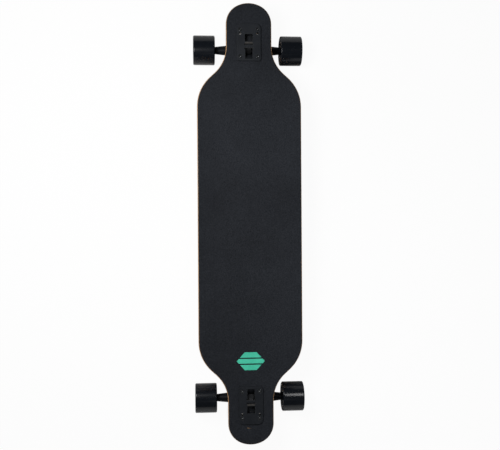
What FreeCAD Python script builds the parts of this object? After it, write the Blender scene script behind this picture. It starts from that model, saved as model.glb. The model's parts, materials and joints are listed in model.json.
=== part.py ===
import FreeCAD, Part
import Sketcher
import math
import os

# Drop-through longboard: X to the right, Y towards the nose, Z up, millimetres.
# The origin lies on the ground under the middle of the deck.
# Each truck is drawn about the centre of its axle, with Y pointing outboard and Z up.

DIMENSIONS = {
    # Deck outline, seen from above
    "deck_length": 1040.0,
    "deck_width": 244.8,
    "neck_width": 107.2,
    "tip_flatness": 8.4,
    "tip_corner_inset": 5.6,
    "neck_length": 102.5,
    "flare_radius": 85.0,
    "flare_straight": 15.8,
    "shoulder_radius": 95.0,
    # Deck section
    "deck_thickness": 11.0,
    "deck_edge_round": 1.8,
    "flat_width": 116.0,
    "rail_radius": 349.0,
    "section_margin": 2.0,
    # Grip tape and badge
    "grip_thickness": 0.9,
    "grip_inset": 1.5,
    "grip_gap": 0.1,
    "badge_width": 66.0,
    "badge_height": 42.0,
    "badge_point": 19.0,
    "badge_stripe": 3.0,
    "badge_gap": 0.15,
    "badge_from_flange": 60.0,
    "nick_length": 12.8,
    "nick_height": 3.0,
    "nick_offset": 2.7,
    "nick_from_flange": 8.5,
    # Truck position and deck cut-out
    "truck_from_tip": 95.0,
    "axle_setback": 4.5,
    "deck_rise": 56.0,
    "cutout_gap": 1.0,
    "cutout_round": 5.0,
    # Bolts through flange and deck
    "bolt_across": 41.3,
    "bolt_along": 63.5,
    "spare_along": 54.0,
    "bolt_shank_radius": 2.4,
    "bolt_hole_gap": 0.35,
    "bolt_head_radius": 4.6,
    "bolt_head_rim": 0.4,
    "bolt_socket_width": 3.0,
    "bolt_socket_depth": 2.0,
    "bolt_tail": 1.5,
    "mount_nut_width": 9.4,
    "mount_nut_height": 5.5,
    "mount_nut_gap": 0.72,
    "thread_gap": 0.1,
    # Steering geometry
    "steer_angle": 40.0,
    "ring_offset": 23.0,
    # Baseplate
    "flange_side_rim": 2.85,
    "flange_rim": 4.4,
    "flange_nose": 4.4,
    "flange_thickness": 5.0,
    "flange_inboard_round": 5.0,
    "flange_outboard_round": 13.0,
    "flange_edge_round": 1.2,
    "tower_root": 1.0,
    "tower_round": 2.0,
    "tower_wall": 4.5,
    "tower_neck": 6.0,
    "tower_draft": 0.5,
    "tower_waist_rise": 12.0,
    "tower_heel": 7.1,
    "tower_outboard_top": 32.0,
    "tower_outboard_low": 28.0,
    "tower_outboard_rise": 41.0,
    "front_pocket_width": 18.4,
    "front_pocket_start": 3.2,
    "front_pocket_length": 17.5,
    "front_pocket_floor": 3.0,
    "pocket_round": 1.5,
    "web_groove_width": 21.0,
    "web_groove_start": 1.7,
    "web_groove_length": 3.6,
    "web_groove_depth": 3.0,
    "web_step_start": 10.6,
    "web_step_length": 4.0,
    "web_step_depth": 2.0,
    "channel_side_gap": 0.45,
    "channel_end_gap": 2.05,
    "kingpin_wall": 21.0,
    # Pivot
    "hanger_lug_gap": 1.5,
    "nose_radius": 5.5,
    "nose_length": 4.0,
    "pivot_clearance": 0.3,
    "cup_wall": 3.0,
    "cup_floor": 1.5,
    "cup_seat_gap": 0.05,
    "lug_wall": 3.0,
    "lug_floor": 2.5,
    "lug_round": 4.0,
    # Kingpin stack
    "kingpin_radius": 4.75,
    "kingpin_gap": 0.2,
    "kingpin_head_width": 14.3,
    "kingpin_head_height": 6.5,
    "kingpin_tail": 2.5,
    "kingpin_nut_height": 8.5,
    "washer_thickness": 2.0,
    "washer_lip_height": 2.2,
    "washer_lip_wall": 1.1,
    "washer_lip_gap": 0.3,
    "bushing_radius": 13.2,
    "bushing_bulge": 0.5,
    "bushing_height": 13.5,
    "cone_height": 12.5,
    "cone_small_radius": 10.4,
    "bushing_edge": 0.9,
    # Hanger
    "hanger_width": 180.0,
    "hanger_root_radius": 13.0,
    "hanger_root_half": 14.0,
    "hanger_mid_radius": 11.7,
    "hanger_mid_half": 50.0,
    "hanger_end_radius": 8.4,
    "hanger_collar_length": 9.0,
    "ring_wall": 2.7,
    "ring_thickness": 10.0,
    "ring_bore_gap": 3.75,
    "seat_depth": 1.0,
    "seat_gap": 0.6,
    "wing_half": 52.0,
    "wing_tip_half": 15.0,
    "wing_tip_rise": 7.0,
    "wing_thickness": 8.0,
    "ring_edge_round": 1.5,
    # Axle
    "axle_radius": 3.95,
    "axle_gap": 0.05,
    "axle_tail": 2.0,
    "axle_chamfer": 0.8,
    "axle_nut_width": 13.0,
    "axle_nut_height": 6.0,
    "axle_nut_collar": 2.2,
    "axle_nut_collar_radius": 5.6,
    "speed_ring_thickness": 1.0,
    "speed_ring_radius": 5.9,
    # Wheel
    "wheel_radius": 35.0,
    "wheel_width": 52.0,
    "wheel_offset": 2.0,
    "tyre_lip_round": 3.0,
    "tyre_face_flare": 6.0,
    "tyre_root_wall": 2.0,
    "tyre_root_step": 1.5,
    "core_radius": 17.0,
    "core_gap": 0.05,
    "core_stop_height": 1.3,
    # Bearings
    "bearing_radius": 11.0,
    "bearing_width": 7.0,
    "bearing_seat_gap": 0.03,
    "land_offset": 1.475,
    "ball_radius": 1.985,
    "ball_gap": 0.07,
    "cage_wall": 1.0,
    "cage_height": 5.2,
    "cage_gap": 0.12,
    "shield_thickness": 0.3,
    "shield_recess": 0.15,
    "shield_gap": 0.35,
    "spacer_length": 10.0,
    "spacer_radius": 5.2,
    "balls_per_bearing": 7.0,
}

doc = FreeCAD.newDocument("longboard")
sheet = doc.addObject("Spreadsheet::Sheet", "dims")
for row, (alias, number) in enumerate(DIMENSIONS.items(), start=1):
    sheet.set(f"A{row}", alias)
    sheet.set(f"B{row}", str(number))
    sheet.setAlias(f"B{row}", alias)
doc.recompute()

sub_parts = []

# Points closer than this count as the same place
NEAR = 0.01
# An edge whose direction rises by more than this share stands upright
UPRIGHT = 0.9


def size(expression):
    """The value of an expression over the sheet's cells."""
    return float(sheet.evalExpression(expression))


# Lengths that several pieces share, as expressions over the sheet's cells
HALF_LENGTH = "(dims.deck_length / 2)"
HALF_WIDTH = "(dims.deck_width / 2)"
HALF_NECK = "(dims.neck_width / 2)"
TIP_RADIUS = f"({HALF_NECK} + dims.tip_flatness)"
FLARE_REACH = f"({HALF_WIDTH} - {HALF_NECK})"
FLARE_RADII = "(dims.flare_radius + dims.shoulder_radius)"
FLARE_COSINE = f"(({FLARE_RADII} - {FLARE_REACH}) / sqrt({FLARE_RADII}^2 + dims.flare_straight^2))"
FLARE_TURN = f"(acos({FLARE_COSINE}) - atan(dims.flare_straight / {FLARE_RADII}))"
STEER_TURN = "dims.steer_angle * 1deg"
TRUCK_MIDDLE = f"({HALF_LENGTH} - dims.truck_from_tip)"
AXLE_Y = f"({TRUCK_MIDDLE} - dims.axle_setback)"
DECK_TOP = "(dims.wheel_radius + dims.deck_rise)"
FLANGE_TOP = "(dims.deck_rise + dims.flange_thickness)"
BOLT_HOLE = "(dims.bolt_shank_radius + dims.bolt_hole_gap)"
BOLT_MOUTH = "(dims.bolt_head_radius + dims.bolt_head_rim)"
TOWER_WIDTH = "(dims.bolt_across - 2 * (dims.mount_nut_width / sqrt(3) + dims.mount_nut_gap))"
SEAT = "(dims.ring_thickness / 2 - dims.seat_depth)"
BOARD_SEAT = f"({SEAT} + dims.bushing_height + dims.washer_thickness)"
ROAD_SEAT = f"({SEAT} + dims.cone_height + dims.washer_thickness)"
HEAD_SEAT = f"({BOARD_SEAT} + dims.kingpin_wall)"
LUG_FACE = "(dims.hanger_root_radius + dims.hanger_lug_gap)"
NOSE_CENTRE = f"({LUG_FACE} + dims.nose_length)"
NOSE_TIP = f"({NOSE_CENTRE} + dims.nose_radius)"
CUP_END = f"({NOSE_TIP} + dims.pivot_clearance + dims.cup_floor)"
CUP_RADIUS = "(dims.nose_radius + dims.pivot_clearance + dims.cup_wall)"
LUG_END = f"({CUP_END} + dims.cup_seat_gap + dims.lug_floor)"
LUG_RADIUS = f"({CUP_RADIUS} + dims.cup_seat_gap + dims.lug_wall)"
WASHER_RADIUS = "(dims.bushing_radius + dims.bushing_bulge + dims.washer_lip_gap + dims.washer_lip_wall)"
SEAT_RADIUS = "(dims.bushing_radius + dims.bushing_bulge + dims.seat_gap)"
RING_RADIUS = f"({SEAT_RADIUS} + dims.ring_wall)"
CHANNEL_WIDTH = "(2 * (dims.kingpin_head_width / sqrt(3) + dims.channel_side_gap))"
CHANNEL_HALF = "(dims.kingpin_head_width / 2 + dims.channel_end_gap)"
CHANNEL_LOW = f"(dims.ring_offset - {CHANNEL_HALF})"
BORE = "(dims.axle_radius + dims.axle_gap)"
HUB_START = "(dims.hanger_width / 2 + dims.speed_ring_thickness)"
HUB_LENGTH = "(2 * dims.bearing_width + dims.spacer_length)"
HUB_END = f"({HUB_START} + {HUB_LENGTH})"
NUT_START = f"({HUB_END} + dims.speed_ring_thickness)"
AXLE_HALF = f"({NUT_START} + dims.axle_nut_height + dims.axle_nut_collar + dims.axle_tail)"
WHEEL_CENTRE = f"({HUB_START} + {HUB_LENGTH} / 2 + dims.wheel_offset)"
CORE_BACK = f"({HUB_START} - {WHEEL_CENTRE})"
CORE_FRONT = f"({HUB_END} - {WHEEL_CENTRE})"
TYRE_ROOT = "(dims.core_radius + dims.tyre_root_wall)"
TYRE_FACE = f"({TYRE_ROOT} + dims.tyre_face_flare)"
PITCH_RADIUS = f"(({BORE} + dims.bearing_radius) / 2)"
INNER_LAND = f"({PITCH_RADIUS} - dims.land_offset)"
OUTER_LAND = f"({PITCH_RADIUS} + dims.land_offset)"
GROOVE_RADIUS = "(dims.ball_radius + dims.ball_gap)"


def channel_mouth(height):
    """How far inboard of the axle the kingpin channel opens at a height above the axle."""
    return f"((({height}) * sin({STEER_TURN}) - {CHANNEL_LOW}) / cos({STEER_TURN}))"


def steer_point(along, across):
    """Y and Z expressions of a point measured along the steering axis and along the kingpin."""
    outboard = f"(({along}) * cos({STEER_TURN}) + ({across}) * sin({STEER_TURN}))"
    rise = f"(({along}) * sin({STEER_TURN}) - ({across}) * cos({STEER_TURN}))"
    return outboard, rise


# The tower holds the channel, the cut-out holds the tower, and the flange covers both and the bolt heads
TOWER_NECK = f"(dims.tower_neck - {steer_point(f'-{LUG_FACE}', f'-{BOARD_SEAT}')[0]})"
TOWER_BACK = f"(max({channel_mouth('dims.deck_rise')} + dims.tower_wall; {TOWER_NECK} + dims.tower_draft))"
CUTOUT_WIDTH = f"({TOWER_WIDTH} + 2 * dims.cutout_gap)"
CUTOUT_HALF = f"({TOWER_BACK} + dims.axle_setback + dims.cutout_gap)"
FLANGE_HALF = f"(dims.bolt_across / 2 + {BOLT_MOUTH} + dims.flange_side_rim)"
MOUTH_REACH = f"(dims.axle_setback + {channel_mouth(FLANGE_TOP)})"
FLANGE_INBOARD = f"(max(dims.bolt_along / 2 + {BOLT_MOUTH}; {MOUTH_REACH}) + dims.flange_rim)"
FLANGE_OUTBOARD = f"({FLANGE_INBOARD} + dims.flange_nose)"


def new_body(label):
    body = doc.addObject("PartDesign::Body", label)
    body.Label = label
    return body


def sketch_on(body, role, turn=0.0, base=("0", "0", "0"), axis=(1, 0, 0)):
    """A sketch on an origin plane of its body, shifted by base and turned about one of the plane's axes."""
    sketch = body.newObject("Sketcher::SketchObject", f"{body.Name}_sketch")
    plane = [feature for feature in body.Origin.OriginFeatures if feature.Role == role][0]
    sketch.AttachmentSupport = (plane, [""])
    sketch.MapMode = "FlatFace"
    shift = FreeCAD.Vector(*[size(part) for part in base])
    rotation = FreeCAD.Rotation(FreeCAD.Vector(*axis), turn)
    sketch.AttachmentOffset = FreeCAD.Placement(shift, rotation)
    return sketch


def pin_point(sketch, geometry, position, point):
    """Fix a sketch point at expressions for its two coordinates."""
    for kind, axis, expression in (("DistanceX", -2, point[0]), ("DistanceY", -1, point[1])):
        if expression == "0":
            sketch.addConstraint(Sketcher.Constraint("PointOnObject", geometry, position, axis))
            continue
        value = size(expression)
        number = sketch.addConstraint(Sketcher.Constraint(kind, -1, 1, geometry, position, value))
        sketch.setExpression(f"Constraints[{number}]", expression)


def arc_through(start, end, radius, turn):
    """Arc of a circle between two points; turn +1 runs counter-clockwise, -1 clockwise."""
    chord = end - start
    half = chord.Length / 2
    height = math.sqrt(max(radius * radius - half * half, 0.0))
    side = FreeCAD.Vector(-chord.y, chord.x, 0).normalize()
    centre = start + chord * 0.5 + side * (height * turn)
    first, last = (start, end) if turn > 0 else (end, start)
    angle_first = math.atan2(first.y - centre.y, first.x - centre.x)
    angle_last = math.atan2(last.y - centre.y, last.x - centre.x)
    if angle_last <= angle_first:
        angle_last += 2 * math.pi
    circle = Part.Circle(centre, FreeCAD.Vector(0, 0, 1), radius)
    return Part.ArcOfCircle(circle, angle_first, angle_last)


def draw_loop(sketch, points):
    """A closed loop. A point is (x, y), or (x, y, radius, turn) where an arc runs to the next point."""
    vectors = [FreeCAD.Vector(size(point[0]), size(point[1]), 0) for point in points]
    ends = []
    for index, point in enumerate(points):
        start = vectors[index]
        end = vectors[(index + 1) % len(points)]
        if len(point) == 2:
            geometry = sketch.addGeometry(Part.LineSegment(start, end))
            ends.append((geometry, 1, 2))
        else:
            arc = arc_through(start, end, size(point[2]), point[3])
            geometry = sketch.addGeometry(arc)
            number = sketch.addConstraint(Sketcher.Constraint("Radius", geometry, size(point[2])))
            sketch.setExpression(f"Constraints[{number}]", point[2])
            ends.append((geometry, 1, 2) if point[3] > 0 else (geometry, 2, 1))
    for index, point in enumerate(points):
        geometry, first, last = ends[index]
        following, following_first, _ = ends[(index + 1) % len(points)]
        pin_point(sketch, geometry, first, point)
        joint = Sketcher.Constraint("Coincident", geometry, last, following, following_first)
        sketch.addConstraint(joint)


def draw_circle(sketch, point, radius):
    centre = FreeCAD.Vector(size(point[0]), size(point[1]), 0)
    circle = Part.Circle(centre, FreeCAD.Vector(0, 0, 1), size(radius))
    geometry = sketch.addGeometry(circle)
    pin_point(sketch, geometry, 3, point)
    number = sketch.addConstraint(Sketcher.Constraint("Radius", geometry, size(radius)))
    sketch.setExpression(f"Constraints[{number}]", radius)


def rectangle(left, low, right, high, corner=None):
    """Corner points of a rectangle, counter-clockwise, with rounded corners where a radius is given."""
    if corner is None:
        return [(left, low), (right, low), (right, high), (left, high)]
    return [
        (f"{left} + {corner}", low), (f"{right} - {corner}", low, corner, 1),
        (right, f"{low} + {corner}"), (right, f"{high} - {corner}", corner, 1),
        (f"{right} - {corner}", high), (f"{left} + {corner}", high, corner, 1),
        (left, f"{high} - {corner}"), (left, f"{low} + {corner}", corner, 1),
    ]


def hexagon(width):
    """Corner points of a regular hexagon of the given width across its flats."""
    reach = f"({width}) / sqrt(3)"
    half = f"({width}) / 2"
    return [
        (reach, "0"), (f"{reach} / 2", half), (f"-{reach} / 2", half),
        (f"-{reach}", "0"), (f"-{reach} / 2", f"-{half}"), (f"{reach} / 2", f"-{half}"),
    ]


def pad(body, sketch, length, both_ways=False):
    feature = body.newObject("PartDesign::Pad", f"{body.Name}_pad")
    feature.Profile = sketch
    feature.SideType = "Symmetric" if both_ways else "One side"
    feature.setExpression("Length", length)
    doc.recompute()
    return feature


def cut(body, sketch, depth=None, reverse=False, both_ways=False):
    """Pocket of the given depth, or right through, that has to take material away."""
    before = body.Shape.Volume
    feature = body.newObject("PartDesign::Pocket", f"{body.Name}_pocket")
    feature.Profile = sketch
    feature.Reversed = reverse
    feature.SideType = "Symmetric" if both_ways else "One side"
    if depth is None:
        feature.Type = "ThroughAll"
    else:
        feature.setExpression("Length", depth)
    doc.recompute()
    if not body.Shape.Volume < before:
        raise RuntimeError(f"{body.Label}: a pocket takes nothing away")
    return feature


def revolve(body, sketch, axis):
    feature = body.newObject("PartDesign::Revolution", f"{body.Name}_turned")
    feature.Profile = sketch
    feature.ReferenceAxis = (sketch, [axis])
    feature.Angle = 360.0
    doc.recompute()
    return feature


def dress(body, kind, value, wanted):
    """Fillet or chamfer on the edges of the body that the wanted test picks."""
    doc.recompute()
    base = body.Tip
    names = [f"Edge{i}" for i, edge in enumerate(base.Shape.Edges, start=1) if wanted(edge)]
    feature = body.newObject(f"PartDesign::{kind}", f"{body.Name}_{kind.lower()}")
    feature.Base = (base, names)
    feature.setExpression("Radius" if kind == "Fillet" else "Size", value)
    doc.recompute()
    return feature


def turned(label, *loops):
    """A body turned about its own Z axis; loop points are (radius, height)."""
    body = new_body(label)
    sketch = sketch_on(body, "XZ_Plane")
    for loop in loops:
        draw_loop(sketch, loop)
    revolve(body, sketch, "V_Axis")
    return body


def tube_loop(inner, outer, low, high):
    return [(inner, low), (outer, low), (outer, high), (inner, high)]


def placed(x=0.0, y=0.0, z=0.0, axis=(1, 0, 0), angle=0.0):
    return FreeCAD.Placement(FreeCAD.Vector(x, y, z), FreeCAD.Rotation(FreeCAD.Vector(*axis), angle))


def keep(feature, placement=None):
    """Put a finished piece in its place and list it as a sub-part."""
    if placement is not None:
        feature.Placement = placement
    sub_parts.append(feature)


def keep_group(label, master, placements):
    """Several copies of one master piece as a single sub-part."""
    copies = []
    for placement in placements:
        copy = master.Shape.copy()
        copy.Placement = placement.multiply(master.Placement)
        copies.append(copy)
    group = doc.addObject("Part::Feature", label)
    group.Label = label
    group.Shape = Part.makeCompound(copies)
    sub_parts.append(group)


def truck_place(end):
    """Frame of a truck: the axle's centre, with Y outboard."""
    if end == "front":
        return placed(0, size(AXLE_Y), size("dims.wheel_radius"))
    return placed(0, -size(AXLE_Y), size("dims.wheel_radius"), (0, 0, 1), 180)


def kingpin_place(across):
    """Frame on the kingpin's axis whose Z runs outboard and down, at a distance from the ring's centre."""
    outboard, rise = steer_point("dims.ring_offset", across)
    return placed(0, size(outboard), size(rise), (1, 0, 0), 180 + size("dims.steer_angle"))


def pivot_place():
    """Frame at the axle's centre whose Z runs along the steering axis, outboard and up."""
    return placed(0, 0, 0, (1, 0, 0), size("dims.steer_angle") - 90)


def hub_place(side, reach="0"):
    """Frame on the axle whose Z runs out of the truck to one side, at a distance from its middle."""
    return placed(side * size(reach), 0, 0, (0, 1, 0), 90 * side)


# Deck, grip tape and badge

def outline(inset):
    """Deck outline with the given inset, counter-clockwise from the right side."""
    neck = f"({HALF_NECK} - {inset})"
    side = f"({HALF_WIDTH} - {inset})"
    tip_radius = f"({TIP_RADIUS} - {inset})"
    corner_radius = f"({neck} - dims.tip_corner_inset)"
    flare_radius = f"(dims.flare_radius + {inset})"
    shoulder_radius = f"(dims.shoulder_radius - {inset})"
    tip_centre = f"({HALF_LENGTH} - {TIP_RADIUS})"
    centre_gap = "(dims.tip_flatness + dims.tip_corner_inset)"
    rise = f"sqrt({centre_gap}^2 - dims.tip_corner_inset^2)"
    corner_y = f"({tip_centre} + {rise})"
    share = f"({tip_radius} / {centre_gap})"
    tip_x = f"(dims.tip_corner_inset * {share})"
    tip_y = f"({tip_centre} + {rise} * {share})"
    neck_y = f"({HALF_LENGTH} - dims.neck_length)"
    flare_x = f"({neck} + {flare_radius} * (1 - cos({FLARE_TURN})))"
    flare_y = f"({neck_y} - {flare_radius} * sin({FLARE_TURN}))"
    shoulder_x = f"({side} - {shoulder_radius} * (1 - cos({FLARE_TURN})))"
    shoulder_y = f"({flare_y} - ({shoulder_x} - {flare_x}) / tan({FLARE_TURN}))"
    side_y = f"({shoulder_y} - {shoulder_radius} * sin({FLARE_TURN}))"
    quarter = [
        (side, side_y, shoulder_radius, 1),
        (shoulder_x, shoulder_y),
        (flare_x, flare_y, flare_radius, -1),
        (neck, neck_y),
        (neck, corner_y, corner_radius, 1),
        (tip_x, tip_y, tip_radius, 1),
    ]
    points = [(x, y) + tuple(rest) for x, y, *rest in quarter]
    # The same run of points goes back down the left side, then round the tail
    bends = [tuple(rest) for _, _, *rest in quarter]
    back = bends[4::-1]
    for index, (x, y, *_) in enumerate(reversed(quarter)):
        points.append((f"-{x}", y) + (back[index] if index < len(back) else ()))
    for index, (x, y, *_) in enumerate(quarter):
        points.append((f"-{x}", f"-{y}") + bends[index])
    for index, (x, y, *_) in enumerate(reversed(quarter)):
        points.append((x, f"-{y}") + (back[index] if index < len(back) else ()))
    return points


def board_section(low, high):
    """Section of a sheet that follows the deck's top: flat in the middle, rails curving up."""
    flat = "(dims.flat_width / 2)"
    edge = f"({HALF_WIDTH} + dims.section_margin)"

    def level(height):
        radius = f"(dims.rail_radius - ({height}))"
        rise = f"({radius} - sqrt({radius}^2 - ({edge} - {flat})^2))"
        return radius, f"({DECK_TOP} + ({height}) + {rise})", f"({DECK_TOP} + ({height}))"

    low_radius, low_edge, low_flat = level(low)
    high_radius, high_edge, high_flat = level(high)
    return [
        (f"-{flat}", low_flat), (flat, low_flat, low_radius, 1),
        (edge, low_edge), (edge, high_edge, high_radius, -1),
        (flat, high_flat), (f"-{flat}", high_flat, high_radius, -1),
        (f"-{edge}", high_edge), (f"-{edge}", low_edge, low_radius, 1),
    ]


def board_sheet(label, low, high, inset):
    """A sheet with the deck's section, trimmed to its outline, and the sketch that trims it."""
    body = new_body(label)
    section = sketch_on(body, "XZ_Plane")
    draw_loop(section, board_section(low, high))
    pad(body, section, "dims.deck_length", both_ways=True)
    trim = sketch_on(body, "XY_Plane")
    reach = "(dims.deck_length)"
    draw_loop(trim, rectangle(f"-{reach}", f"-{reach}", reach, reach))
    draw_loop(trim, outline(inset))
    cut(body, trim, reverse=True)
    return body, trim


def bolt_points(signs):
    """Centres of the four mounting bolts of each truck, for the given ends."""
    points = []
    for sign in signs:
        for side in ("", "-"):
            for along in ("", "-"):
                y = f"{sign}{TRUCK_MIDDLE} + {along}dims.bolt_along / 2"
                points.append((f"{side}dims.bolt_across / 2", y))
    return points


def spare_points(signs):
    """Centres of the two spare holes of each truck, on the short bolt spacing."""
    points = []
    for sign in signs:
        inset = "(dims.bolt_along / 2 - dims.spare_along)"
        for side in ("", "-"):
            points.append((f"{side}dims.bolt_across / 2", f"{sign}({TRUCK_MIDDLE} - {inset})"))
    return points


def edges_along(trim):
    """A test that picks the upper and lower edges above a trim sketch's inner loop."""
    rim = min(trim.Shape.Wires, key=lambda wire: wire.BoundBox.DiagonalLength)

    def wanted(edge):
        half_way = (edge.FirstParameter + edge.LastParameter) / 2
        point = edge.valueAt(half_way)
        upright = abs(edge.tangentAt(half_way).z) > UPRIGHT
        gap = rim.distToShape(Part.Vertex(point.x, point.y, 0))[0]
        return gap < NEAR and not upright

    return wanted


deck, deck_trim = board_sheet("deck", "-dims.deck_thickness", "0", "0")
openings = sketch_on(deck, "XY_Plane")
for sign in ("", "-"):
    middle = f"{sign}{TRUCK_MIDDLE}"
    draw_loop(openings, rectangle(
        f"-{CUTOUT_WIDTH} / 2", f"{middle} - {CUTOUT_HALF}",
        f"{CUTOUT_WIDTH} / 2", f"{middle} + {CUTOUT_HALF}", "dims.cutout_round"))
for point in bolt_points(("", "-")) + spare_points(("", "-")):
    draw_circle(openings, point, BOLT_HOLE)
cut(deck, openings, reverse=True)
dress(deck, "Fillet", "dims.deck_edge_round", edges_along(deck_trim))
keep(deck)


def flange_points(middle, sign, gap):
    """Outline of a flange round its bolt centre, grown by a gap; sign points outboard."""
    half = f"({FLANGE_HALF} + {gap})"
    inboard = f"({FLANGE_INBOARD} + {gap})"
    outboard = f"({FLANGE_OUTBOARD} + {gap})"
    small = f"(dims.flange_inboard_round + {gap})"
    large = f"(dims.flange_outboard_round + {gap})"
    way = 1 if sign == "" else -1

    def along(distance):
        return f"({middle} + {sign}({distance}))"

    return [
        (f"-{half} + {small}", along(f"-{inboard}")),
        (f"{half} - {small}", along(f"-{inboard}"), small, way),
        (half, along(f"-{inboard} + {small}")),
        (half, along(f"{outboard} - {large}"), large, way),
        (f"{half} - {large}", along(outboard)),
        (f"-{half} + {large}", along(outboard), large, way),
        (f"-{half}", along(f"{outboard} - {large}")),
        (f"-{half}", along(f"-{inboard} + {small}"), small, way),
    ]


def badge_bands(gap):
    """Three bands of a stretched hexagon, split by two stripes and grown by a gap."""
    half = f"(dims.badge_width / 2 + {gap})"
    high = f"(dims.badge_height / 2 + {gap})"
    middle = f"-({TRUCK_MIDDLE} - {FLANGE_INBOARD} - dims.badge_from_flange)"
    stripe = f"(dims.badge_height / 6 + dims.badge_stripe / 2 - {gap})"
    centre = f"(dims.badge_height / 6 - dims.badge_stripe / 2 + {gap})"

    def edge(height):
        return f"({half} - dims.badge_point * ({height}) / (dims.badge_height / 2))"

    upper = [
        (f"-{edge(stripe)}", f"{middle} + {stripe}"), (edge(stripe), f"{middle} + {stripe}"),
        (edge(high), f"{middle} + {high}"), (f"-{edge(high)}", f"{middle} + {high}"),
    ]
    inner = [
        (f"-{edge(centre)}", f"{middle} - {centre}"), (edge(centre), f"{middle} - {centre}"),
        (half, middle), (edge(centre), f"{middle} + {centre}"),
        (f"-{edge(centre)}", f"{middle} + {centre}"), (f"-{half}", middle),
    ]
    lower = [
        (f"-{edge(high)}", f"{middle} - {high}"), (edge(high), f"{middle} - {high}"),
        (edge(stripe), f"{middle} - {stripe}"), (f"-{edge(stripe)}", f"{middle} - {stripe}"),
    ]
    return upper, inner, lower


def nick_points():
    """Corners of the wedge-shaped nick in the grip tape, beyond the tail flange."""
    blunt = "(-dims.nick_offset - dims.nick_length / 2)"
    sharp = "(-dims.nick_offset + dims.nick_length / 2)"
    middle = f"(-{TRUCK_MIDDLE} - {FLANGE_OUTBOARD} - dims.nick_from_flange)"
    half = "dims.nick_height / 2"
    return [(blunt, f"{middle} - {half}"), (sharp, f"{middle} - {half}"), (blunt, f"{middle} + {half}")]


grip_tape, _ = board_sheet("grip_tape", "0", "dims.grip_thickness", "dims.grip_inset")
grip_openings = sketch_on(grip_tape, "XY_Plane")
for sign in ("", "-"):
    draw_loop(grip_openings, flange_points(f"{sign}{TRUCK_MIDDLE}", sign, "dims.grip_gap"))
for band in badge_bands("dims.badge_gap"):
    draw_loop(grip_openings, band)
draw_loop(grip_openings, nick_points())
cut(grip_tape, grip_openings, reverse=True)
keep(grip_tape)

band_bodies = []
for band in badge_bands("0"):
    band_body = new_body("badge_band")
    band_sketch = sketch_on(band_body, "XY_Plane", base=("0", "0", DECK_TOP))
    draw_loop(band_sketch, band)
    pad(band_body, band_sketch, "dims.grip_thickness")
    band_bodies.append(band_body)
grip_badge = doc.addObject("Part::Compound", "grip_badge")
grip_badge.Label = "grip_badge"
grip_badge.Links = band_bodies
doc.recompute()
keep(grip_badge)

# Mounting bolts and nuts

BOLT_LENGTH = "(dims.flange_thickness + dims.deck_thickness + dims.mount_nut_height + dims.bolt_tail)"
bolt_cone = "(dims.bolt_head_radius - dims.bolt_shank_radius)"
bolt = turned("bolt_master", [
    ("0", f"-{BOLT_LENGTH}"), ("dims.bolt_shank_radius", f"-{BOLT_LENGTH}"),
    ("dims.bolt_shank_radius", f"-dims.bolt_head_rim - {bolt_cone}"),
    ("dims.bolt_head_radius", "-dims.bolt_head_rim"), ("dims.bolt_head_radius", "0"), ("0", "0"),
])
bolt_socket = sketch_on(bolt, "XY_Plane")
draw_loop(bolt_socket, hexagon("dims.bolt_socket_width"))
cut(bolt, bolt_socket, "dims.bolt_socket_depth")
mount_nut = new_body("mount_nut_master")
mount_nut_sketch = sketch_on(mount_nut, "XY_Plane")
draw_loop(mount_nut_sketch, hexagon("dims.mount_nut_width"))
draw_circle(mount_nut_sketch, ("0", "0"), "dims.bolt_shank_radius + dims.thread_gap")
pad(mount_nut, mount_nut_sketch, "dims.mount_nut_height")

bolt_tops = []
nut_lows = []
for x, y in bolt_points(("", "-")):
    bolt_tops.append(placed(size(x), size(y), size(f"{DECK_TOP} + dims.flange_thickness")))
    nut_level = f"{DECK_TOP} - dims.deck_thickness - dims.mount_nut_height"
    nut_lows.append(placed(size(x), size(y), size(nut_level)))
keep_group("mounting_bolts", bolt, bolt_tops)
keep_group("mounting_nuts", mount_nut, nut_lows)


# Trucks

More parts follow.
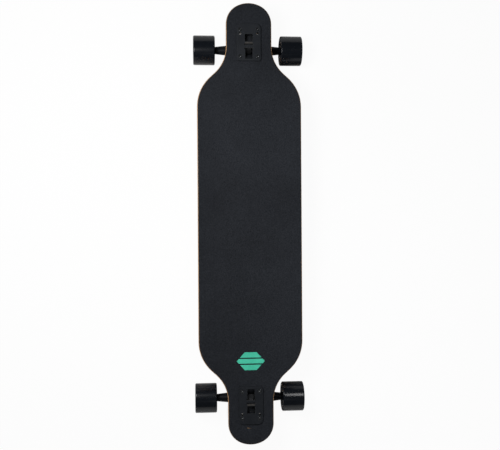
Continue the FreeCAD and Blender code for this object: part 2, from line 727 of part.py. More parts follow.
def make_baseplate(label):
    """Flange on the deck, tower through it, pockets from above, kingpin channel and pivot socket."""
    body = new_body(label)
    flange = sketch_on(body, "XY_Plane", base=("0", "0", "dims.deck_rise"))
    draw_loop(flange, flange_points("dims.axle_setback", "", "0"))
    pad(body, flange, "dims.flange_thickness")

    tower = sketch_on(body, "YZ_Plane")
    root = "dims.deck_rise + dims.tower_root"
    draw_loop(tower, [
        ("dims.tower_outboard_top", root),
        (f"-{TOWER_BACK}", root),
        (f"-{TOWER_BACK} + dims.tower_draft", "dims.tower_waist_rise"),
        steer_point(f"-{LUG_END}", "-dims.tower_heel"),
        steer_point(f"-{LUG_END} + dims.lug_floor", "0"),
        steer_point(f"-{LUG_FACE}", "0"),
        steer_point(f"-{LUG_FACE}", f"-{BOARD_SEAT}"),
        steer_point(f"dims.ring_offset + {WASHER_RADIUS}", f"-{BOARD_SEAT}"),
        ("dims.tower_outboard_low", "dims.tower_outboard_rise"),
    ])
    pad(body, tower, TOWER_WIDTH, both_ways=True)
    half_tower = size(f"{TOWER_WIDTH} / 2")
    under_deck = size("dims.deck_rise - dims.tower_root")

    def tower_side(edge):
        on_side = abs(edge.BoundBox.XMin) > half_tower - NEAR and edge.BoundBox.XLength < NEAR
        return on_side and edge.BoundBox.ZMin < under_deck

    dress(body, "Fillet", "dims.tower_round", tower_side)

    tilt = size("dims.steer_angle")
    lug = sketch_on(body, "XY_Plane", turn=tilt)
    draw_loop(lug, [
        ("0", f"-{LUG_END}"), (f"{LUG_RADIUS} - dims.lug_round", f"-{LUG_END}", "dims.lug_round", 1),
        (LUG_RADIUS, f"-{LUG_END} + dims.lug_round"), (LUG_RADIUS, f"-{LUG_FACE}"), ("0", f"-{LUG_FACE}"),
    ])
    revolve(body, lug, "V_Axis")

    pocket = sketch_on(body, "XY_Plane", base=("0", "0", FLANGE_TOP))
    start = "(dims.axle_setback + dims.front_pocket_start)"
    draw_loop(pocket, rectangle(
        "-dims.front_pocket_width / 2", start,
        "dims.front_pocket_width / 2", f"{start} + dims.front_pocket_length", "dims.pocket_round"))
    cut(body, pocket, f"{FLANGE_TOP} - dims.tower_outboard_rise - dims.front_pocket_floor")

    for name in ("web_groove", "web_step"):
        groove = sketch_on(body, "XY_Plane", base=("0", "0", FLANGE_TOP))
        far = f"(dims.axle_setback - dims.{name}_start)"
        draw_loop(groove, rectangle(
            "-dims.web_groove_width / 2", f"{far} - dims.{name}_length",
            "dims.web_groove_width / 2", far))
        cut(body, groove, f"dims.{name}_depth")

    seat_outboard, seat_rise = steer_point("0", f"-{HEAD_SEAT}")
    channel = sketch_on(body, "XY_Plane", turn=tilt, base=("0", seat_outboard, seat_rise))
    draw_loop(channel, rectangle(
        f"-{CHANNEL_WIDTH} / 2", CHANNEL_LOW,
        f"{CHANNEL_WIDTH} / 2", f"dims.ring_offset + {CHANNEL_HALF}", "dims.pocket_round"))
    cut(body, channel, reverse=True)
    bore = sketch_on(body, "XY_Plane", turn=tilt, base=("0", seat_outboard, seat_rise))
    draw_circle(bore, ("0", "dims.ring_offset"), "dims.kingpin_radius + dims.kingpin_gap")
    cut(body, bore)

    socket_outboard, socket_rise = steer_point(f"-{CUP_END} - dims.cup_seat_gap", "0")
    socket = sketch_on(body, "XY_Plane", turn=tilt - 90, base=("0", socket_outboard, socket_rise))
    draw_circle(socket, ("0", "0"), f"{CUP_RADIUS} + dims.cup_seat_gap")
    cut(body, socket, reverse=True)

    holes = sketch_on(body, "XY_Plane", base=("0", "0", FLANGE_TOP))
    half_along = "dims.bolt_along / 2"
    for side in ("", "-"):
        for along in (half_along, f"-{half_along}", f"dims.spare_along - {half_along}"):
            draw_circle(holes, (f"{side}dims.bolt_across / 2", f"dims.axle_setback + {along}"), BOLT_HOLE)
    cut(body, holes)
    top = size(FLANGE_TOP)
    hole_radius = size(BOLT_HOLE)
    bolt_reach = size("dims.bolt_along / 2")
    bolt_middle = size("dims.axle_setback")

    def hole_mouth(edge):
        """Upper rims of the four holes that take bolts; the spare holes stay plain."""
        round_edge = hasattr(edge.Curve, "Radius") and abs(edge.Curve.Radius - hole_radius) < NEAR
        if not round_edge or abs(edge.BoundBox.ZMin - top) > NEAR:
            return False
        return abs(abs(edge.Curve.Center.y - bolt_middle) - bolt_reach) < NEAR

    dress(body, "Chamfer", f"{BOLT_MOUTH} + dims.thread_gap - {BOLT_HOLE}", hole_mouth)
    half = size(FLANGE_HALF)
    ends = (size(f"dims.axle_setback - {FLANGE_INBOARD}"), size(f"dims.axle_setback + {FLANGE_OUTBOARD}"))
    large = size("dims.flange_outboard_round")
    small = size("dims.flange_inboard_round")

    def flange_rim(edge):
        if abs(edge.BoundBox.ZMin - top) > NEAR or abs(edge.BoundBox.ZMax - top) > NEAR:
            return False
        middle_point = edge.valueAt((edge.FirstParameter + edge.LastParameter) / 2)
        on_side = abs(abs(middle_point.x) - half) < NEAR
        on_end = min(abs(middle_point.y - end) for end in ends) < NEAR
        corner = hasattr(edge.Curve, "Radius") and min(
            abs(edge.Curve.Radius - large), abs(edge.Curve.Radius - small)) < NEAR
        return on_side or on_end or corner

    dress(body, "Fillet", "dims.flange_edge_round", flange_rim)
    return body


def make_hanger(label):
    """Tapered arms along the axle, wings and a ring for the bushings, and the pivot nose."""
    body = new_body(label)
    arms = sketch_on(body, "XY_Plane")
    end = "dims.hanger_width / 2"
    taper = f"({end} - dims.hanger_collar_length)"
    draw_loop(arms, [
        (f"-{end}", "0"), (end, "0"), (end, "dims.hanger_end_radius"),
        (taper, "dims.hanger_end_radius"),
        ("dims.hanger_mid_half", "dims.hanger_mid_radius"),
        ("dims.hanger_root_half", "dims.hanger_root_radius"),
        ("-dims.hanger_root_half", "dims.hanger_root_radius"),
        ("-dims.hanger_mid_half", "dims.hanger_mid_radius"),
        (f"-{taper}", "dims.hanger_end_radius"),
        (f"-{end}", "dims.hanger_end_radius"),
    ])
    revolve(body, arms, "H_Axis")

    tilt = size("dims.steer_angle")
    wings = sketch_on(body, "XY_Plane", turn=tilt)
    tip_rise = "dims.ring_offset + dims.wing_tip_rise"
    draw_loop(wings, [
        ("-dims.wing_half", "0"), ("dims.wing_half", "0"),
        ("dims.wing_tip_half", tip_rise), ("-dims.wing_tip_half", tip_rise),
    ])
    pad(body, wings, "dims.wing_thickness", both_ways=True)
    ring_outboard, ring_rise = steer_point("dims.ring_offset", "0")
    ring = sketch_on(body, "YZ_Plane", 180 + tilt, (ring_outboard, ring_rise, "0"), (0, 0, 1))
    face = "dims.ring_thickness / 2"
    edge = "dims.ring_edge_round"
    draw_loop(ring, [
        ("0", f"-{face}"), (f"{RING_RADIUS} - {edge}", f"-{face}", edge, 1),
        (RING_RADIUS, f"-{face} + {edge}"), (RING_RADIUS, f"{face} - {edge}", edge, 1),
        (f"{RING_RADIUS} - {edge}", face), ("0", face),
    ])
    revolve(body, ring, "V_Axis")

    nose = sketch_on(body, "XY_Plane", turn=tilt)
    draw_loop(nose, [
        ("0", "0"), ("0", f"-{NOSE_TIP}", "dims.nose_radius", 1),
        ("dims.nose_radius", f"-{NOSE_CENTRE}"), ("dims.nose_radius", "0"),
    ])
    revolve(body, nose, "V_Axis")

    bore = sketch_on(body, "XY_Plane", turn=tilt)
    draw_circle(bore, ("0", "dims.ring_offset"), "dims.kingpin_radius + dims.ring_bore_gap")
    cut(body, bore, both_ways=True)
    for way, reverse in (("-", True), ("", False)):
        outboard, rise = steer_point("0", f"{way}{SEAT}")
        seat = sketch_on(body, "XY_Plane", turn=tilt, base=("0", outboard, rise))
        draw_circle(seat, ("0", "dims.ring_offset"), SEAT_RADIUS)
        cut(body, seat, reverse=reverse)
    axle_bore = sketch_on(body, "YZ_Plane")
    draw_circle(axle_bore, ("0", "0"), BORE)
    cut(body, axle_bore, both_ways=True)
    return body


def make_pivot_cup(label):
    """Cup round the hanger's nose; heights are measured along the steering axis."""
    hole = "dims.nose_radius + dims.pivot_clearance"
    return turned(label, [
        ("0", f"-{CUP_END}"), (CUP_RADIUS, f"-{CUP_END}"), (CUP_RADIUS, f"-{LUG_FACE}"),
        (hole, f"-{LUG_FACE}"), (hole, f"-{NOSE_CENTRE}", hole, -1),
        ("0", f"-{NOSE_TIP} - dims.pivot_clearance"),
    ])


def make_kingpin(label):
    """Hexagon-headed bolt; the head's bearing face is at height zero."""
    body = new_body(label)
    head = sketch_on(body, "XY_Plane")
    draw_loop(head, hexagon("dims.kingpin_head_width"))
    pad_head = pad(body, head, "dims.kingpin_head_height")
    pad_head.Reversed = True
    shank = sketch_on(body, "XY_Plane")
    draw_circle(shank, ("0", "0"), "dims.kingpin_radius")
    pad(body, shank, f"{HEAD_SEAT} + {ROAD_SEAT} + dims.kingpin_nut_height + dims.kingpin_tail")
    return body


def make_hex_nut(label, width, height, hole):
    body = new_body(label)
    sketch = sketch_on(body, "XY_Plane")
    draw_loop(sketch, hexagon(width))
    draw_circle(sketch, ("0", "0"), hole)
    pad(body, sketch, height)
    return body


def make_axle_nut(label):
    """Hexagon nut with a round locking collar on its outer side."""
    hole = "dims.axle_radius + dims.thread_gap"
    body = make_hex_nut(label, "dims.axle_nut_width", "dims.axle_nut_height", hole)
    collar = sketch_on(body, "XY_Plane", base=("0", "0", "dims.axle_nut_height"))
    draw_circle(collar, ("0", "0"), "dims.axle_nut_collar_radius")
    draw_circle(collar, ("0", "0"), hole)
    pad(body, collar, "dims.axle_nut_collar")
    return body


def make_washer(label):
    """Cupped washer: a disc on the seat with a lip round the bushing, rising along Z."""
    hole = "dims.kingpin_radius + dims.kingpin_gap"
    rim = f"{WASHER_RADIUS} - dims.washer_lip_wall"
    top = "dims.washer_thickness + dims.washer_lip_height"
    return turned(label, [
        (hole, "0"), (WASHER_RADIUS, "0"), (WASHER_RADIUS, top), (rim, top),
        (rim, "dims.washer_thickness"), (hole, "dims.washer_thickness"),
    ])


def make_bushing(label, small, height):
    """Urethane bushing from the washer at height zero to the hanger, bulging a little between."""
    hole = "dims.kingpin_radius + dims.kingpin_gap"
    large = "dims.bushing_radius"
    edge = "dims.bushing_edge"
    middle = f"(({small} + {large}) / 2 + dims.bushing_bulge)"
    return turned(label, [
        (hole, "0"), (f"{small} - {edge}", "0"), (small, edge), (middle, f"{height} / 2"),
        (large, f"{height} - {edge}"), (f"{large} - {edge}", height), (hole, height),
    ])


def make_axle(label):
    chamfered = "dims.axle_radius - dims.axle_chamfer"
    return turned(label, [
        ("0", f"-{AXLE_HALF}"), (chamfered, f"-{AXLE_HALF}"),
        ("dims.axle_radius", f"-{AXLE_HALF} + dims.axle_chamfer"),
        ("dims.axle_radius", f"{AXLE_HALF} - dims.axle_chamfer"),
        (chamfered, AXLE_HALF), ("0", AXLE_HALF),
    ])


axle_nut = make_axle_nut("axle_nut_master")
washer = make_washer("washer_master")
speed_ring = turned("speed_ring_master", tube_loop(
    BORE, "dims.speed_ring_radius", "0", "dims.speed_ring_thickness"))

for end in ("front", "rear"):
    truck = truck_place(end)
    keep(make_baseplate(f"{end}_baseplate"), truck)
    keep(make_pivot_cup(f"{end}_pivot_cup"), truck.multiply(pivot_place()))
    keep(make_kingpin(f"{end}_kingpin"), truck.multiply(kingpin_place(f"-{HEAD_SEAT}")))
    kingpin_nut = make_hex_nut(f"{end}_kingpin_nut", "dims.kingpin_head_width", "dims.kingpin_nut_height",
                               "dims.kingpin_radius + dims.thread_gap")
    keep(kingpin_nut, truck.multiply(kingpin_place(ROAD_SEAT)))
    board_washer = truck.multiply(kingpin_place(f"-{BOARD_SEAT}"))
    road_washer = truck.multiply(kingpin_place(ROAD_SEAT)).multiply(placed(angle=180))
    keep_group(f"{end}_kingpin_washers", washer, [board_washer, road_washer])
    barrel = make_bushing(f"{end}_boardside_bushing", "dims.bushing_radius", "dims.bushing_height")
    keep(barrel, truck.multiply(kingpin_place(f"-{BOARD_SEAT} + dims.washer_thickness")))
    cone = make_bushing(f"{end}_roadside_bushing", "dims.cone_small_radius", "dims.cone_height")
    cone_place = kingpin_place(f"{ROAD_SEAT} - dims.washer_thickness").multiply(placed(angle=180))
    keep(cone, truck.multiply(cone_place))
    keep(make_hanger(f"{end}_hanger"), truck)
    keep(make_axle(f"{end}_axle"), truck.multiply(hub_place(1)))
    keep_group(f"{end}_axle_nuts", axle_nut, [truck.multiply(hub_place(side, NUT_START)) for side in (1, -1)])
    ring_places = []
    for side in (1, -1):
        ring_places.append(truck.multiply(hub_place(side, "dims.hanger_width / 2")))
        ring_places.append(truck.multiply(hub_place(side, HUB_END)))
    keep_group(f"{end}_speed_rings", speed_ring, ring_places)


# Wheels; every turned piece is drawn with Z pointing out of the truck

def make_tyre(label):
    """Urethane body round the core, with square lips and conical faces."""
    half = "dims.wheel_width / 2"
    lip = "dims.tyre_lip_round"
    hole = "dims.core_radius + dims.core_gap"
    shoulder = f"dims.wheel_radius - {lip}"
    return turned(label, [
        (hole, CORE_BACK), (TYRE_ROOT, f"{CORE_BACK} - dims.tyre_root_step"),
        (TYRE_FACE, f"-{half}"), (shoulder, f"-{half}", lip, 1),
        ("dims.wheel_radius", f"-{half} + {lip}"), ("dims.wheel_radius", f"{half} - {lip}", lip, 1),
        (shoulder, half), (TYRE_FACE, half),
        (TYRE_ROOT, f"{CORE_FRONT} + dims.tyre_root_step"), (hole, CORE_FRONT),
    ])


def make_core(label):
    """Plastic hub with a seat for a bearing at each end and a stop between them."""
    seat = "dims.bearing_radius + dims.bearing_seat_gap"
    back = f"{CORE_BACK} + dims.bearing_width"
    front = f"{CORE_FRONT} - dims.bearing_width"
    stop = "dims.bearing_radius - dims.core_stop_height"
    return turned(label, [
        (seat, CORE_BACK), ("dims.core_radius", CORE_BACK), ("dims.core_radius", CORE_FRONT),
        (seat, CORE_FRONT), (seat, front), (stop, front), (stop, back), (seat, back),
    ])


half_bearing = "dims.bearing_width / 2"
groove_half = f"sqrt({GROOVE_RADIUS}^2 - dims.land_offset^2)"
outer_ring = turned("outer_ring_master", [
    (OUTER_LAND, f"-{half_bearing}"), ("dims.bearing_radius", f"-{half_bearing}"),
    ("dims.bearing_radius", half_bearing), (OUTER_LAND, half_bearing),
    (OUTER_LAND, groove_half, GROOVE_RADIUS, -1), (OUTER_LAND, f"-{groove_half}"),
])
inner_ring = turned("inner_ring_master", [
    (BORE, f"-{half_bearing}"), (INNER_LAND, f"-{half_bearing}"),
    (INNER_LAND, f"-{groove_half}", GROOVE_RADIUS, -1), (INNER_LAND, groove_half),
    (INNER_LAND, half_bearing), (BORE, half_bearing),
])
shield = turned("shield_master", tube_loop(
    f"{INNER_LAND} + dims.shield_gap", f"{OUTER_LAND} - dims.bearing_seat_gap",
    f"{half_bearing} - dims.shield_recess - dims.shield_thickness", f"{half_bearing} - dims.shield_recess"))
ball = doc.addObject("Part::Sphere", "ball_master")
ball.setExpression("Radius", "dims.ball_radius")
cage_ring = turned("cage_ring_master", tube_loop(
    f"{PITCH_RADIUS} - dims.cage_wall / 2", f"{PITCH_RADIUS} + dims.cage_wall / 2",
    "-dims.cage_height / 2", "dims.cage_height / 2"))
ball_count = round(size("dims.balls_per_bearing"))
ball_turns = [placed(axis=(0, 0, 1), angle=360.0 * index / ball_count) for index in range(ball_count)]
cage_ring.Placement = placed(axis=(0, 0, 1), angle=180.0 / ball_count)
pockets = []
for turn in ball_turns:
    pocket = doc.addObject("Part::Cylinder", "cage_pocket")
    pocket.setExpression("Radius", "dims.ball_radius + dims.cage_gap")
    pocket.setExpression("Height", "dims.cage_wall * 3")
    start_radius = size(f"{PITCH_RADIUS} - dims.cage_wall * 1.5")
    pocket.Placement = turn.multiply(placed(start_radius, axis=(0, 1, 0), angle=90))
    pockets.append(pocket)
pocket_set = doc.addObject("Part::MultiFuse", "cage_pockets")
pocket_set.Shapes = pockets
cage = doc.addObject("Part::Cut", "cage_master")
cage.Base = cage_ring
cage.Tool = pocket_set
doc.recompute()

for end in ("front", "rear"):
    truck = truck_place(end)
    for name, side in (("left", -1), ("right", 1)):
        wheel = f"{end}_{name}"
        # The rear truck is turned about, so its own sides are swapped
        own_side = side if end == "front" else -side
        hub = truck.multiply(hub_place(own_side, WHEEL_CENTRE))
        keep(make_tyre(f"{wheel}_tyre"), hub)
        keep(make_core(f"{wheel}_core"), hub)
        seats = [truck.multiply(hub_place(own_side, f"{reach} + {half_bearing}"))
                 for reach in (HUB_START, f"{HUB_END} - dims.bearing_width")]
        flips = [placed(), placed(axis=(1, 0, 0), angle=180)]
        keep_group(f"{wheel}_bearing_outer_rings", outer_ring, seats)
        keep_group(f"{wheel}_bearing_inner_rings", inner_ring, seats)
        keep_group(f"{wheel}_bearing_shields", shield,
                   [seat.multiply(flip) for seat in seats for flip in flips])
        ball_seat = placed(size(PITCH_RADIUS))
        keep_group(f"{wheel}_bearing_balls", ball,
                   [seat.multiply(turn).multiply(ball_seat) for seat in seats for turn in ball_turns])
        keep_group(f"{wheel}_bearing_cages", cage, seats)
        spacer = turned(f"{wheel}_bearing_spacer", tube_loop(
            BORE, "dims.spacer_radius", "0", "dims.spacer_length"))
        keep(spacer, truck.multiply(hub_place(own_side, f"{HUB_START} + dims.bearing_width")))

# Check every object, then write each piece

doc.recompute()
for item in doc.Objects:
    if "Invalid" in item.State or "Error" in item.State:
        raise RuntimeError(f"{item.Label} did not build: {item.State}")
for piece in sub_parts:
    shape = piece.Shape
    if shape.isNull() or not shape.isValid() or not shape.Solids:
        raise RuntimeError(f"{piece.Label} has no sound shape")

os.makedirs("parts", exist_ok=True)
for piece in sub_parts:
    piece.Shape.exportStep(os.path.join("parts", f"{piece.Label}.step"))
print(f"{len(sub_parts)} pieces written")
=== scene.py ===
"""Looks of the longboard: materials for every solid, soft bushings, small fittings, light and camera.

Lengths are in metres, X to the right, Y towards the nose, Z up, with the ground at zero.
"""
import json
import math

import bmesh
import bpy
from mathutils import Matrix, Vector


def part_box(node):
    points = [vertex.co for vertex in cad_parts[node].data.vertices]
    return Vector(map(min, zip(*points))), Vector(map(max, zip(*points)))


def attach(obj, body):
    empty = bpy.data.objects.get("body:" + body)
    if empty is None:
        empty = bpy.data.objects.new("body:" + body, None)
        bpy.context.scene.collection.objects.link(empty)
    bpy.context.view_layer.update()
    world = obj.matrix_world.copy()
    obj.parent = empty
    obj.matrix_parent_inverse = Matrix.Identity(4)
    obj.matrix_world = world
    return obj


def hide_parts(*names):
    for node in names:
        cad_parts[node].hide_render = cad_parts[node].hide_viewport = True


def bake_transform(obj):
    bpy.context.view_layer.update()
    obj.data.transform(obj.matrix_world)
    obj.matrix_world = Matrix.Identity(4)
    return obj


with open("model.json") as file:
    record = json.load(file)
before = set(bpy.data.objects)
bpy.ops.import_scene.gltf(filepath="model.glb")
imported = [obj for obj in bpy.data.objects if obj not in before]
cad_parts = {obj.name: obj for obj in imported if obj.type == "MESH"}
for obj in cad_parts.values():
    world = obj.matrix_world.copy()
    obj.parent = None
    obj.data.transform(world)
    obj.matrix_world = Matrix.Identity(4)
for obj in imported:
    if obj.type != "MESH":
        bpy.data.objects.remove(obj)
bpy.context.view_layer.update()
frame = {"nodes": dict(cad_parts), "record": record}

ENDS = ("front", "rear")

# Camera: high above the board and a little to its left, so that the right wheels show their inner faces
CAMERA_PLACE = Vector((-0.119, 0.002, 1.790))
CAMERA_AIM = Vector((0.0002, -0.0024, 0.0919))
CAMERA_ROLL = math.radians(0.36)
CAMERA_LENS = 52.1
SENSOR_WIDTH = 36.0

# Deck section, which the plies follow; the skin keeps both faces within the outer plies
DECK_TOP = 0.091
DECK_THICKNESS = 0.011
FLAT_HALF = 0.058
RAIL_RADIUS = 0.349
PLIES = 9
PLY_SKIN = 0.02 * DECK_THICKNESS
HALF_LENGTH = 0.52

# Dark maple: the upper rim next to the grip tape, painted shade on the walls of the holes, and darker walls
# at the tips. The tips' walls darken between two shares of the half length
RAW_DEPTH = 0.0003
RAW_TONE = 0.30
HOLE_REACH = 0.034
TIP_FROM = 0.88
TIP_FULL = 0.94
TIP_DARK_AND_HOLE_SHADE = (0.040, 0.030, 0.022)

# Kingpin stack of a truck, measured from the middle of the hanger's ring
STEER_ANGLE = math.radians(40.0)
AXLE_PLACE = sum(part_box("front_axle"), Vector()) / 2
RING_OFFSET = 0.023
RING_SEAT = 0.004
WASHER_THICKNESS = 0.002

# Bushings
BUSHING_RADIUS = 0.0132
BARREL_HEIGHT = 0.0135
CONE_HEIGHT = 0.0125
CONE_RADIUS = 0.0104
BUSHING_BORE = 0.00495
BORE_MOUTH = BUSHING_BORE + 0.0004
BORE_CHAMFER = 0.0003
BUSHING_EDGE = 0.0009
EDGE_MIDDLE = 0.3 * BUSHING_EDGE
BUSHING_BULGE = 0.0005
SIDE_STEPS = 8
BORE_STEPS = 5

# Nuts and the threaded ends that stand out of them
KINGPIN_RADIUS = 0.00475
KINGPIN_NUT_HEIGHT = 0.0085
KINGPIN_TAIL = 0.0025
KINGPIN_PITCH = 0.00125
AXLE_RADIUS = 0.00395
AXLE_THREAD_RADIUS = AXLE_RADIUS - 0.0004
AXLE_TAIL = 0.002
AXLE_PITCH = 0.0008
BOLT_RADIUS = 0.0024
BOLT_TAIL = 0.0015
BOLT_PITCH = 0.0008
BOLT_ACROSS = 0.0413
BOLT_ALONG = 0.0635
BOLT_MIDDLE = 0.425
BOLT_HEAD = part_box("mounting_bolts")[1].x - BOLT_ACROSS / 2
BOLT_DOME = 0.030

# Screw threads: depth and half width are a share of the pitch, and the ends fade in over some steps
THREAD_SHARE = 0.45
THREAD_STEPS = 32
THREAD_FADE = 8

# Nylon locking rings on the nuts
LOCK_GAP = 0.0001
LOCK_TAPER = 0.93
LOCK_ROUNDING = 0.3
KINGPIN_LOCK = {"outer": 0.0062, "height": 0.0009}
AXLE_LOCK = {"outer": 0.0051, "height": 0.0004}
BOLT_LOCK = {"outer": 0.0041, "height": 0.0006}

# Cross rib on the baseplates, lighter in patches than the paint around it
RIB_MIDDLE = 0.4252
RIB_HALF = 0.0019
RIB_REACH = 0.0092
RIB_LOW = 0.0935
RIB_TONE = (0.047, 0.044, 0.041)

# Shading samples, and the numbers of a colour mix node's sockets
BEVEL_SAMPLES = 4
OCCLUSION_SAMPLES = 6
MIX_SHARE, MIX_FIRST, MIX_SECOND, MIX_RESULT = 0, 6, 7, 2

# Steps round a turned piece, and round each corner of a rounded profile
LATHE_STEPS = 64
ROUNDING_STEPS = 4

# Floor: a flat disc that bends up into a wall
FLOOR_HUB = 0.02
FLOOR_FLAT = 4.0
FLOOR_BEND = 1.0
FLOOR_BEND_STEPS = 8
FLOOR_HEIGHT = 2.2

# The floor shows white, but for the shade under the board; each shade ends between two distances
FLOOR_WHITE = 0.95
FLOOR_TONE = 0.9
DECK_SHADE = {"across": (0.070, 0.118), "along": (0.24, 0.33)}
WIDE_SHADE = {"across": (0.20, 0.40), "along": (0.60, 0.80)}
DECK_SHADE_WHITE = 0.6
TRUCK_SHADE_MIDDLE = 0.466
TRUCK_SHADE = (0.030, 0.056)
TRUCK_SHADE_WHITE = 0.15

SKY_COLOUR = (0.93, 0.97, 1.0, 1.0)
SKY_STRENGTH = 0.14


# Materials

class Material:
    """A principled material with short calls that add and link its nodes."""

    def __init__(self, name, **sockets):
        self.material = bpy.data.materials.new(name)
        self.material.use_nodes = True
        self.tree = self.material.node_tree
        self.shader = self.tree.nodes["Principled BSDF"]
        for socket, value in sockets.items():
            self.shader.inputs[socket.replace("_", " ").title().replace("Ior", "IOR")].default_value = value
        self.place = self.node("ShaderNodeTexCoord").outputs["Object"]

    def node(self, kind, inputs=(), **settings):
        made = self.tree.nodes.new(kind)
        for setting, value in settings.items():
            setattr(made, setting, value)
        for socket, value in dict(inputs).items():
            self.feed(made.inputs[socket], value)
        return made

    def feed(self, socket, value):
        """Link an output to a socket, or set the socket's own value."""
        if isinstance(value, bpy.types.NodeSocket):
            self.tree.links.new(value, socket)
        else:
            socket.default_value = value

    def math(self, operation, first, second=0.0):
        return self.node("ShaderNodeMath", {0: first, 1: second}, operation=operation).outputs[0]

    def vector(self, operation, first, second=(0.0, 0.0, 0.0), result="Vector"):
        made = self.node("ShaderNodeVectorMath", {0: first, 1: second}, operation=operation)
        return made.outputs[result]

    def axes(self, value=None):
        """X, Y and Z of a vector, or else of the object's own coordinates."""
        return self.node("ShaderNodeSeparateXYZ", {0: value or self.place}).outputs

    def flat_vector(self, x, y):
        return self.node("ShaderNodeCombineXYZ", {0: x, 1: y}).outputs[0]

    def folded(self, value, middle):
        """How far a value lies from the nearer of two middles, one on each side of zero."""
        return self.math("MULTIPLY", self.math("SIGN", value),
                         self.math("SUBTRACT", self.math("ABSOLUTE", value), middle))

    def stretched(self, scale):
        """The object's own coordinates, scaled differently along each axis."""
        return self.node("ShaderNodeMapping", {"Vector": self.place, "Scale": scale}).outputs[0]

    def noise(self, scale, detail=2.0, rough=0.5, place=None):
        inputs = {"Vector": place or self.place, "Scale": scale, "Detail": detail, "Roughness": rough}
        return self.node("ShaderNodeTexNoise", inputs).outputs["Fac"]

    def cells(self, scale):
        inputs = {"Vector": self.place, "Scale": scale}
        return self.node("ShaderNodeTexVoronoi", inputs).outputs["Distance"]

    def ramp(self, value, *stops):
        """A colour ramp; each stop is a position and a grey level or colour."""
        made = self.node("ShaderNodeValToRGB", {"Fac": value})
        elements = made.color_ramp.elements
        while len(elements) < len(stops):
            elements.new(1.0)
        for element, (position, colour) in zip(elements, stops):
            element.position = position
            grey = isinstance(colour, (int, float))
            element.color = (colour, colour, colour, 1.0) if grey else (*colour, 1.0)
        return made.outputs["Color"]

    def span(self, value, ends):
        """Rises evenly from zero to one between two values."""
        inputs = {"Value": value, "From Min": ends[0], "From Max": ends[1]}
        return self.node("ShaderNodeMapRange", inputs).outputs[0]

    def mix(self, share, first, second, blend="MIX"):
        """Two colours mixed; each is an output or three numbers."""
        made = self.node("ShaderNodeMix", data_type="RGBA", blend_type=blend)
        self.feed(made.inputs[MIX_SHARE], share)
        for socket, value in ((MIX_FIRST, first), (MIX_SECOND, second)):
            linked = isinstance(value, bpy.types.NodeSocket)
            self.feed(made.inputs[socket], value if linked else (*value, 1.0))
        return made.outputs[MIX_RESULT]

    def soft_normal(self, radius):
        """The normal, with edges rounded by the given radius."""
        return self.node("ShaderNodeBevel", {"Radius": radius}, samples=BEVEL_SAMPLES).outputs[0]

    def flat_normal(self):
        return self.node("ShaderNodeNewGeometry").outputs["Normal"]

    def edges(self, radius):
        """Zero on flat faces, rising towards edges within the given radius."""
        turn = self.vector("DOT_PRODUCT", self.soft_normal(radius), self.flat_normal(), result="Value")
        return self.math("SUBTRACT", 1.0, turn)

    def colour(self, value):
        self.feed(self.shader.inputs["Base Color"], value)

    def roughness(self, value, low, high):
        span = self.node("ShaderNodeMapRange", {"Value": value, "To Min": low, "To Max": high})
        self.feed(self.shader.inputs["Roughness"], span.outputs[0])

    def bump(self, height, depth, strength, edge=None, lean=None):
        """Bump of the given depth, over edges rounded by the given radius, whose normals may lean."""
        inputs = {"Height": height, "Distance": depth, "Strength": strength}
        if edge:
            inputs["Normal"] = self.soft_normal(edge)
        if lean:
            leaning = self.vector("ADD", inputs["Normal"], lean)
            inputs["Normal"] = self.vector("NORMALIZE", leaning)
        made = self.node("ShaderNodeBump", inputs)
        self.feed(self.shader.inputs["Normal"], made.outputs[0])


def grip_material():
    """Black abrasive sheet: sharp grains with pale middles, slightly uneven tone."""
    made = Material("grip", specular_ior_level=0.08)
    grains = made.cells(850.0)
    dust = made.noise(5.0, detail=4.0, rough=0.6)
    grit = made.ramp(grains, (0.0, (0.0500, 0.0545, 0.0635)), (0.35, (0.0205, 0.0227, 0.0274)),
                     (0.8, (0.0105, 0.0117, 0.0145)))
    worn = made.ramp(dust, (0.35, 0.82), (0.7, 1.16))
    made.colour(made.mix(1.0, grit, worn, "MULTIPLY"))
    made.roughness(made.noise(1200.0), 0.62, 0.95)
    made.bump(grains, depth=0.0005, strength=0.7)
    return made.material


def ply_depth(made, axes):
    """Depth below the deck's top face, which rises towards the rails."""
    from_middle = made.math("ABSOLUTE", axes["X"])
    across = made.math("MAXIMUM", made.math("SUBTRACT", from_middle, FLAT_HALF), 0.0)
    chord = made.math("SUBTRACT", RAIL_RADIUS ** 2, made.math("MULTIPLY", across, across))
    rise = made.math("SUBTRACT", RAIL_RADIUS, made.math("SQRT", chord))
    return made.math("SUBTRACT", made.math("ADD", rise, DECK_TOP), axes["Z"])


def tip_dark_and_hole_shade_share(made, axes):
    """One on the walls of the holes and the tips, zero elsewhere."""
    facing = made.axes(made.flat_normal())
    wall = made.ramp(made.math("ABSOLUTE", facing["Z"]), (0.55, 1.0), (0.9, 0.0))
    from_middle = made.math("MULTIPLY", made.math("ABSOLUTE", axes["Y"]), 1 / HALF_LENGTH)
    at_tip = made.ramp(from_middle, (TIP_FROM, 0.0), (TIP_FULL, 1.0))
    in_hole = made.math("LESS_THAN", made.math("ABSOLUTE", axes["X"]), HOLE_REACH)
    return made.math("MULTIPLY", wall, made.math("MAXIMUM", at_tip, in_hole))


